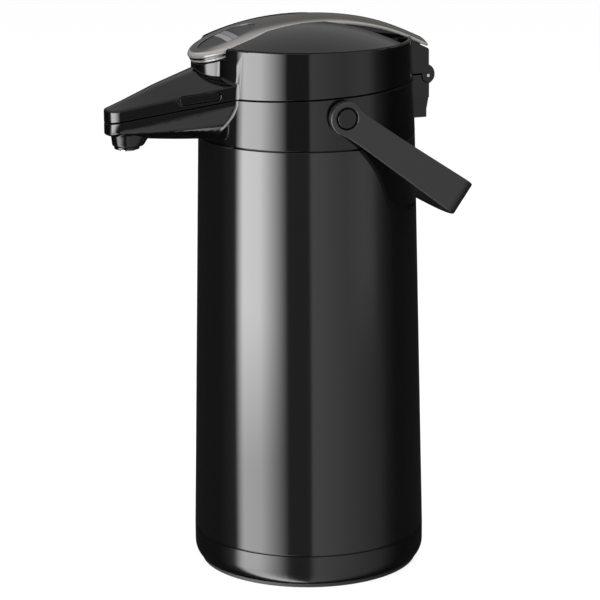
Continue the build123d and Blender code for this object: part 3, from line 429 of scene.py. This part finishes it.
def turned(name, profile, steps=160):
    """Piece spun round the pot's axis from radius and height pairs."""
    mesh = bpy.data.meshes.new(name)
    joins = [(i, (i + 1) % len(profile)) for i in range(len(profile))]
    mesh.from_pydata([(r * MM, 0, z * MM) for r, z in profile], joins, [])
    piece = placed(name, mesh)
    bpy.ops.object.mode_set(mode="EDIT")
    bpy.ops.mesh.select_all(action="SELECT")
    bpy.ops.mesh.spin(steps=steps, angle=2 * pi, center=(0, 0, 0), axis=(0, 0, 1))
    bpy.ops.mesh.select_all(action="SELECT")
    bpy.ops.mesh.remove_doubles(threshold=SPIN_SEAM * MM)
    bpy.ops.mesh.normals_make_consistent(inside=False)
    bpy.ops.object.mode_set(mode="OBJECT")
    smooth(piece)
    return piece


def arc(centre, radius, start, end, steps=5):
    """Points of an arc from start to end, in degrees, as radius and height pairs."""
    angles = [radians(start + (end - start) * i / steps) for i in range(steps + 1)]
    return [(centre[0] + radius * cos(angle), centre[1] + radius * sin(angle)) for angle in angles]


# Lacquered body: a cone with its two edges rolled and a lip turned in at the top
shell_low, shell_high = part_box("outer_shell")
SHELL_LOW_Z, SHELL_TOP_Z = shell_low.z / MM, shell_high.z / MM
SHELL_LOW_R = shell_high.x / MM
SHELL_TOP_R = 73.0
SHELL_T = 0.8
SHELL_LIP = 2.2
ROLL_R = 0.5
shell_profile = (
    arc((SHELL_LOW_R - ROLL_R, SHELL_LOW_Z + ROLL_R), ROLL_R, -90, 0)
    + arc((SHELL_TOP_R - ROLL_R, SHELL_TOP_Z - ROLL_R), ROLL_R, 0, 90)
    + [
        (SHELL_TOP_R - SHELL_LIP, SHELL_TOP_Z),
        (SHELL_TOP_R - SHELL_LIP, SHELL_TOP_Z - SHELL_T),
        (SHELL_TOP_R - SHELL_T, SHELL_TOP_Z - SHELL_T),
        (SHELL_LOW_R - SHELL_T, SHELL_LOW_Z + SHELL_T),
        (SHELL_LOW_R - SHELL_T, SHELL_LOW_Z),
    ]
)
stand_for(turned("lacquered_body", shell_profile), "outer_shell")

SOFT_EDGES = {
    "lid_dome": 0.5,
    "handle": 1.4,
    "handle_pins": 0.4,
    "lever_core": 0.4,
    "lever_band": 0.5,
    "lever_inlay": 0.0,
    "inlay_window": 0.0,
    "button_right": 0.9,
    "button_left": 0.9,
    "nozzle": 0.5,
    "nozzle_insert": 0.2,
    "hinge_pin": 0.2,
    "base_ring": 0.0,
    "foot_ring": 0.4,
}
finished = {node: softened(node, width) for node, width in SOFT_EDGES.items()}
true_wall(softened("lid_ring", 1.3, segments=4, angle=40, seam_up=-1))
true_wall(softened("collar", 1.2, segments=4, angle=40, seam_up=1))

# Beads between the given distances to the side of the pot's middle plane
MIDDLE_X, NECK_X, ROOT_X = 4, 26.5, 50
for side in (1, -1):
    root_bead("collar", side, 1.6, MIDDLE_X, ROOT_X, "collar_root")
    root_bead("lid_ring", side, 1.6, NECK_X, ROOT_X, "lid_root")
    root_bead("lid_ring", side, 1.2, MIDDLE_X, NECK_X, "neck_root")


# Lever cover: smooth crown, rolled rim and an opening for the inlay. Sizes in millimetres

CREST_Y = [-88.0, -57.0, -30.0, 0.0, 30.0, 55.0, 84.0]
CREST_Z = [353.0, 366.3, 374.2, 377.4, 375.5, 369.6, 357.2]
CROWN_R = [200.0, 200.0, 180.0, 110.0, 75.0, 58.0, 50.0]
HEAD_Y, HEAD_R = -52.3, 29.3
ARM_X, ARM_TAPER = 22.6, 0.066
ARM_STRAIGHT_Y, ARM_END_Y, ARM_END_ROUND = 60.0, 81.5, 4.0
WAIST_START, WAIST_REACH, WAIST_PASSES = 0.5, 9, 24
INLAY_X_HALF, INLAY_Y_HALF = 16.0, 19.5
INLAY_CENTRE = Vector((0, -56.0))
OUTLINE_STEP = 0.8


def spline(places, values):
    """Smooth curve through the values."""
    count = len(places)
    gaps = [b - a for a, b in zip(places, places[1:])]
    slopes = [(b - a) / gap for a, b, gap in zip(values, values[1:], gaps)]
    system, right = np.zeros((count, count)), np.zeros(count)
    system[0, 0] = system[-1, -1] = 1
    for i in range(1, count - 1):
        system[i, i - 1:i + 2] = gaps[i - 1], 2 * (gaps[i - 1] + gaps[i]), gaps[i]
        right[i] = 6 * (slopes[i] - slopes[i - 1])
    bend = np.linalg.solve(system, right)

    def value(place):
        i = min(max(sum(place >= limit for limit in places) - 1, 0), count - 2)
        back, on = (places[i + 1] - place) / gaps[i], (place - places[i]) / gaps[i]
        curve = (back ** 3 - back) * bend[i] + (on ** 3 - on) * bend[i + 1]
        return back * values[i] + on * values[i + 1] + curve * gaps[i] ** 2 / 6

    return value


crest, crown_r = spline(CREST_Y, CREST_Z), spline(CREST_Y, CROWN_R)


def under_crown(place, drop):
    """Point at a drop below the lever's top surface."""
    across = crown_r(place.y)
    top = crest(place.y) - across + sqrt(across ** 2 - place.x ** 2)
    return (place.x, place.y, top - drop)


def arm_x(y):
    """Half width of the lever's arm."""
    return ARM_X - ARM_TAPER * min(y, ARM_STRAIGHT_Y)


def round_point(centre, radius, angle):
    """Point on a circle at an angle in degrees."""
    return centre + radius * Vector((cos(radians(angle)), sin(radians(angle))))


def even(line, step):
    """Points on a line at even steps."""
    reach = [0.0]
    for a, b in zip(line, line[1:]):
        reach.append(reach[-1] + (b - a).length)
    count = round(reach[-1] / step)
    places = [reach[-1] * i / count for i in range(count + 1)]
    xs, ys = [p.x for p in line], [p.y for p in line]
    return [Vector((np.interp(p, reach, xs), np.interp(p, reach, ys))) for p in places]


def lever_outline():
    """Outline from above, once round, with the waist eased, and its outward directions."""
    head = Vector((0, HEAD_Y))
    head_arc = [round_point(head, HEAD_R, angle) for angle in range(-90, 90)]
    half = [p for p in head_arc if p.y < HEAD_Y or p.x >= arm_x(p.y)]
    waist_y = half[-1].y + WAIST_START
    half += [Vector((arm_x(y), y)) for y in (waist_y, ARM_STRAIGHT_Y, ARM_END_Y - ARM_END_ROUND)]
    end = Vector((arm_x(ARM_END_Y) - ARM_END_ROUND, ARM_END_Y - ARM_END_ROUND))
    half += [round_point(end, ARM_END_ROUND, angle) for angle in range(10, 91, 10)]
    half.append(Vector((0, ARM_END_Y)))
    half = even(half, OUTLINE_STEP)
    for easing in range(WAIST_PASSES):
        eased = list(half)
        for i in range(1, len(half) - 1):
            if abs(half[i].y - waist_y) < WAIST_REACH:
                eased[i] = half[i - 1] / 4 + half[i] / 2 + half[i + 1] / 4
        half = eased
    line = half + [Vector((-p.x, p.y)) for p in reversed(half[1:-1])]
    facing = []
    for i in range(len(line)):
        travel = line[(i + 1) % len(line)] - line[i - 1]
        facing.append(Vector((travel.y, -travel.x)).normalized())
    return line, facing


def skin(name, rows, rim_shade_rows):
    """Closed ring through rows of points, marked where its rim gets painted shade."""
    count, high = len(rows[0]), len(rows)
    faces = []
    for row in range(high):
        low, up = row * count, (row + 1) % high * count
        faces += [(low + i, low + (i + 1) % count, up + (i + 1) % count, up + i) for i in range(count)]
    mesh = bpy.data.meshes.new(name)
    mesh.from_pydata([Vector(point) * MM for row in rows for point in row], [], faces)
    mark = mesh.attributes.new("rolled", "FLOAT", "POINT")
    mark.data.foreach_set("value", [level for level in rim_shade_rows for i in range(count)])
    return placed(name, mesh)


outline, facing = lever_outline()
opening = []
for p in outline:
    way = p - INLAY_CENTRE
    opening.append(INLAY_CENTRE + way / sqrt((way.x / INLAY_X_HALF) ** 2 + (way.y / INLAY_Y_HALF) ** 2))


def rim_row(insets, drops):
    """Row round the outline, at an inset and a drop for each of its points."""
    return [under_crown(p - out * inset, drop) for p, out, inset, drop in zip(outline, facing, insets, drops)]


def widened(wall):
    """The opening with its edge moved outwards by a wall."""
    return [p + (p - INLAY_CENTRE).normalized() * wall for p in opening]


# The rim is higher and rounder at the head than along the arm
RIM_CHANGE_Y, RIM_CHANGE = -40.0, 3.0
TOP_ROLL_ARM, TOP_ROLL_HEAD = 1.2, 2.1
LOW_ROLL_ARM, LOW_ROLL_HEAD = 0.35, 1.2
RIM_DEPTH_ARM, RIM_DEPTH_HEAD = 1.8, 3.6


def arm_to_head(arm, head):
    """Size for each point of the outline, from the arm's to the head's."""
    shares = [min(max((RIM_CHANGE_Y - p.y) / RIM_CHANGE + 0.5, 0), 1) for p in outline]
    return [arm + (head - arm) * share for share in shares]


top_roll = arm_to_head(TOP_ROLL_ARM, TOP_ROLL_HEAD)
low_roll = arm_to_head(LOW_ROLL_ARM, LOW_ROLL_HEAD)
rim_depth = arm_to_head(RIM_DEPTH_ARM, RIM_DEPTH_HEAD)
RIM_INSET, RIM_INNER_DROP = 1.25, 1.3
OPENING_LIP, OPENING_DROP = 0.2, 0.15
TOP_ROWS, ROLL_ROWS, RIM_SHADE_GAIN = 30, 9, 1.5

rows = [[under_crown(p, OPENING_DROP) for p in opening]]
top_edge = [p - out * roll for p, out, roll in zip(outline, facing, top_roll)]
for number in range(TOP_ROWS + 1):
    share = number / TOP_ROWS
    rows.append([under_crown(near.lerp(far, share), 0) for near, far in zip(widened(OPENING_LIP), top_edge)])
# The top gets no painted shade; the shade grows over the top roll and is full on the rest of the rim
rim_shade_rows = [0.0] * len(rows)
for number in range(1, ROLL_ROWS + 1):
    angle = radians(90 - 90 * number / ROLL_ROWS)
    insets = [roll * (1 - cos(angle)) for roll in top_roll]
    rows.append(rim_row(insets, [roll * (1 - sin(angle)) for roll in top_roll]))
    rim_shade_rows.append(min(1.0, RIM_SHADE_GAIN * number / ROLL_ROWS))
for number in range(ROLL_ROWS + 1):
    angle = radians(90 * number / ROLL_ROWS)
    insets = [roll * (1 - cos(angle)) for roll in low_roll]
    drops = [depth - roll * (1 - sin(angle)) for depth, roll in zip(rim_depth, low_roll)]
    rows.append(rim_row(insets, drops))
    rim_shade_rows.append(1.0)
inner_insets = [RIM_INSET] * len(outline)
rows += [rim_row(inner_insets, rim_depth), rim_row(inner_insets, [RIM_INNER_DROP] * len(outline))]
rim_shade_rows += [1.0, 1.0]
cover = skin("lever_cover_finished", rows, rim_shade_rows)
if max(cover.data.polygons, key=lambda face: abs(face.normal.z)).normal.z < 0:
    cover.data.flip_normals()
smooth(cover, 40)
stand_for(cover, "lever_cover")

# Dark seat that lines the opening, from its edge down to the inlay
SEAT_ROWS = ((0.0, 0.1), (0.0, 1.15), (0.25, 1.15), (0.25, 0.3))
rows = [[under_crown(p, drop) for p in widened(wall)] for wall, drop in SEAT_ROWS]
seat = skin("inlay_seat", rows, [0.0] * len(rows))
inwards = INLAY_CENTRE * MM - seat.data.polygons[0].center.xy
if seat.data.polygons[0].normal.xy.dot(inwards) < 0:
    seat.data.flip_normals()
smooth(seat, 40)
ride_with(seat, "lever_inlay")

# The band under the rim gets the painted shade all over
band_shade_mark = finished["lever_band"].data.attributes.new("rolled", "FLOAT", "POINT")
band_shade_mark.data.foreach_set("value", [1.0] * len(band_shade_mark.data))

# Small block in the pocket at the lever's far end; the gap to the hinge block still shows
RIB_CENTRE = Vector((0, 76.6, 353.3))
RIB_SIZE = Vector((19.0, 3.6, 4.4))
bpy.ops.object.select_all(action="DESELECT")
bpy.ops.mesh.primitive_cube_add(size=1, location=RIB_CENTRE * MM)
rib = bpy.context.object
rib.name = "lever_end_rib"
rib.scale = RIB_SIZE * MM
bpy.ops.object.transform_apply(location=True, rotation=True, scale=True)
ride_with(rib, "lever_core")


# Light, floor and camera

VIEW_AZIMUTH = radians(70.5)
RIGHT = Vector((cos(VIEW_AZIMUTH), sin(VIEW_AZIMUTH), 0))
AWAY = Vector((-sin(VIEW_AZIMUTH), cos(VIEW_AZIMUTH), 0))
UP = Vector((0, 0, 1))

FLOOR_GLOW, GLOW_SHARE = 1.08, 0.8
bpy.ops.object.select_all(action="DESELECT")
bpy.ops.mesh.primitive_plane_add(size=30, location=(0, 0, 0))
floor = bpy.context.object
floor.name = "floor"
floor_paint = finish("floor paint", (0.85, 0.85, 0.85), 0.9, specular=0.0)
tree = floor_paint.node_tree
white_sweep = tree.nodes.new("ShaderNodeEmission")
white_sweep.inputs["Strength"].default_value = FLOOR_GLOW
camera_ray = tree.nodes.new("ShaderNodeLightPath").outputs["Is Camera Ray"]
blend = tree.nodes.new("ShaderNodeMixShader")
tree.links.new(math_node(tree, "MULTIPLY", camera_ray, GLOW_SHARE), blend.inputs["Fac"])
tree.links.new(tree.nodes["Principled BSDF"].outputs[0], blend.inputs[1])
tree.links.new(white_sweep.outputs[0], blend.inputs[2])
tree.links.new(blend.outputs[0], tree.nodes["Material Output"].inputs["Surface"])
floor.data.materials.append(floor_paint)
floor.visible_glossy = False

# What the gloss sees: three lamps, each rising, full and fading at degrees round to the right from
# the camera, and a room that is darker behind the pot
SOFTBOX, SOFTBOX_LEVEL = (-80, -70, -50, -20), 12.0
SIDE_PANEL, SIDE_PANEL_LEVEL = (2, 5, 5, 90), 1.0
RAISED_PANEL, RAISED_PANEL_LEVEL = (40, 60, 70, 80), 0.4
ROOM_FRONT, ROOM_BEHIND = 0.2, 0.02
SOFT_LEVEL = 0.65

world = bpy.data.worlds.new("studio")
bpy.context.scene.world = world
world.use_nodes = True
tree = world.node_tree
direction = tree.nodes.new("ShaderNodeTexCoord").outputs["Generated"]
towards_camera = dot_node(tree, direction, -AWAY)
angle = math_node(tree, "ARCTAN2", dot_node(tree, direction, RIGHT), towards_camera)
degrees_round = math_node(tree, "MULTIPLY", angle, 180 / pi)
height = dot_node(tree, direction, UP)


def times(first, second):
    """Product of two levels."""
    return math_node(tree, "MULTIPLY", first, second)


def plus(first, second):
    """Sum of two levels."""
    return math_node(tree, "ADD", first, second)


def lamp(span, level):
    """Level of a lamp that rises, is full and fades over its span of degrees."""
    start, full, fading, end = span
    rising = range_node(tree, degrees_round, start, full)
    return times(times(rising, range_node(tree, degrees_round, fading, end, 1.0, 0.0)), level)


overhead = range_node(tree, height, 0.35, 0.6, 1.0, 0.0)
softbox_foot = range_node(tree, height, -0.35, -0.2, 0.6, 1.1)
softbox_head = range_node(tree, height, 0.1, 0.3, 1.0, 0.05)
softbox = times(lamp(SOFTBOX, SOFTBOX_LEVEL), times(softbox_foot, softbox_head))
side_panel = lamp(SIDE_PANEL, SIDE_PANEL_LEVEL)
raised_panel = times(lamp(RAISED_PANEL, RAISED_PANEL_LEVEL), range_node(tree, height, -0.25, -0.15))
room = range_node(tree, towards_camera, -0.2, 0.2, ROOM_BEHIND, ROOM_FRONT)
lamps = plus(plus(softbox, side_panel), raised_panel)
sky = plus(range_node(tree, height, 0.0, 0.1, 0.0, 0.15), range_node(tree, height, 0.4, 0.5, 0.0, 0.5))
gloss_level = plus(times(plus(lamps, room), overhead), sky)
path = tree.nodes.new("ShaderNodeLightPath")
is_gloss = path.outputs["Is Glossy Ray"]
soft_level = times(math_node(tree, "SUBTRACT", 1.0, is_gloss), SOFT_LEVEL)
shown_level = plus(times(gloss_level, is_gloss), soft_level)
level = math_node(tree, "MAXIMUM", shown_level, path.outputs["Is Camera Ray"])
tree.links.new(level, tree.nodes["Background"].inputs["Strength"])
tree.nodes["Background"].inputs["Color"].default_value = (1, 1, 1, 1)


def area_light(name, place, target, size, power):
    """Square lamp that no gloss shows, at distances to the right, away from the camera and up."""
    lamp = bpy.data.lights.new(name, "AREA")
    lamp.energy = power
    lamp.size = size
    holder = bpy.data.objects.new(name, lamp)
    bpy.context.scene.collection.objects.link(holder)
    holder.location = RIGHT * place[0] + AWAY * place[1] + UP * place[2]
    holder.rotation_euler = (Vector(target) - holder.location).to_track_quat("-Z", "Y").to_euler()
    holder.visible_glossy = False


area_light("key", (-1.2, -1.2, 1.1), (0, 0, 0.2), 1.0, 30)
area_light("top", (0.2, -0.3, 1.7), (0, 0, 0.3), 1.2, 26)

PITCH = 0.242
ROLL = 0.0057
CAMERA_PLACE = (1.68317, -0.59604, 0.62189)
PHOTO_PIXELS = 600
LENS_PIXELS = 2689.43
SHIFT_PIXELS = 7.45
forward = AWAY * cos(PITCH) - UP * sin(PITCH)
camera_up = AWAY * sin(PITCH) + UP * cos(PITCH)
turned_right = RIGHT * cos(ROLL) - camera_up * sin(ROLL)
turned_up = camera_up * cos(ROLL) + RIGHT * sin(ROLL)
lens = bpy.data.cameras.new("camera")
lens.sensor_width = 36
lens.lens = LENS_PIXELS * lens.sensor_width / PHOTO_PIXELS
lens.shift_x = -SHIFT_PIXELS / PHOTO_PIXELS
lens.clip_end = 50
camera = bpy.data.objects.new("camera", lens)
bpy.context.scene.collection.objects.link(camera)
camera.matrix_world = Matrix((
    (turned_right.x, turned_up.x, -forward.x, CAMERA_PLACE[0]),
    (turned_right.y, turned_up.y, -forward.y, CAMERA_PLACE[1]),
    (turned_right.z, turned_up.z, -forward.z, CAMERA_PLACE[2]),
    (0, 0, 0, 1),
))
bpy.context.scene.camera = camera
bpy.context.scene.view_settings.view_transform = "Standard"
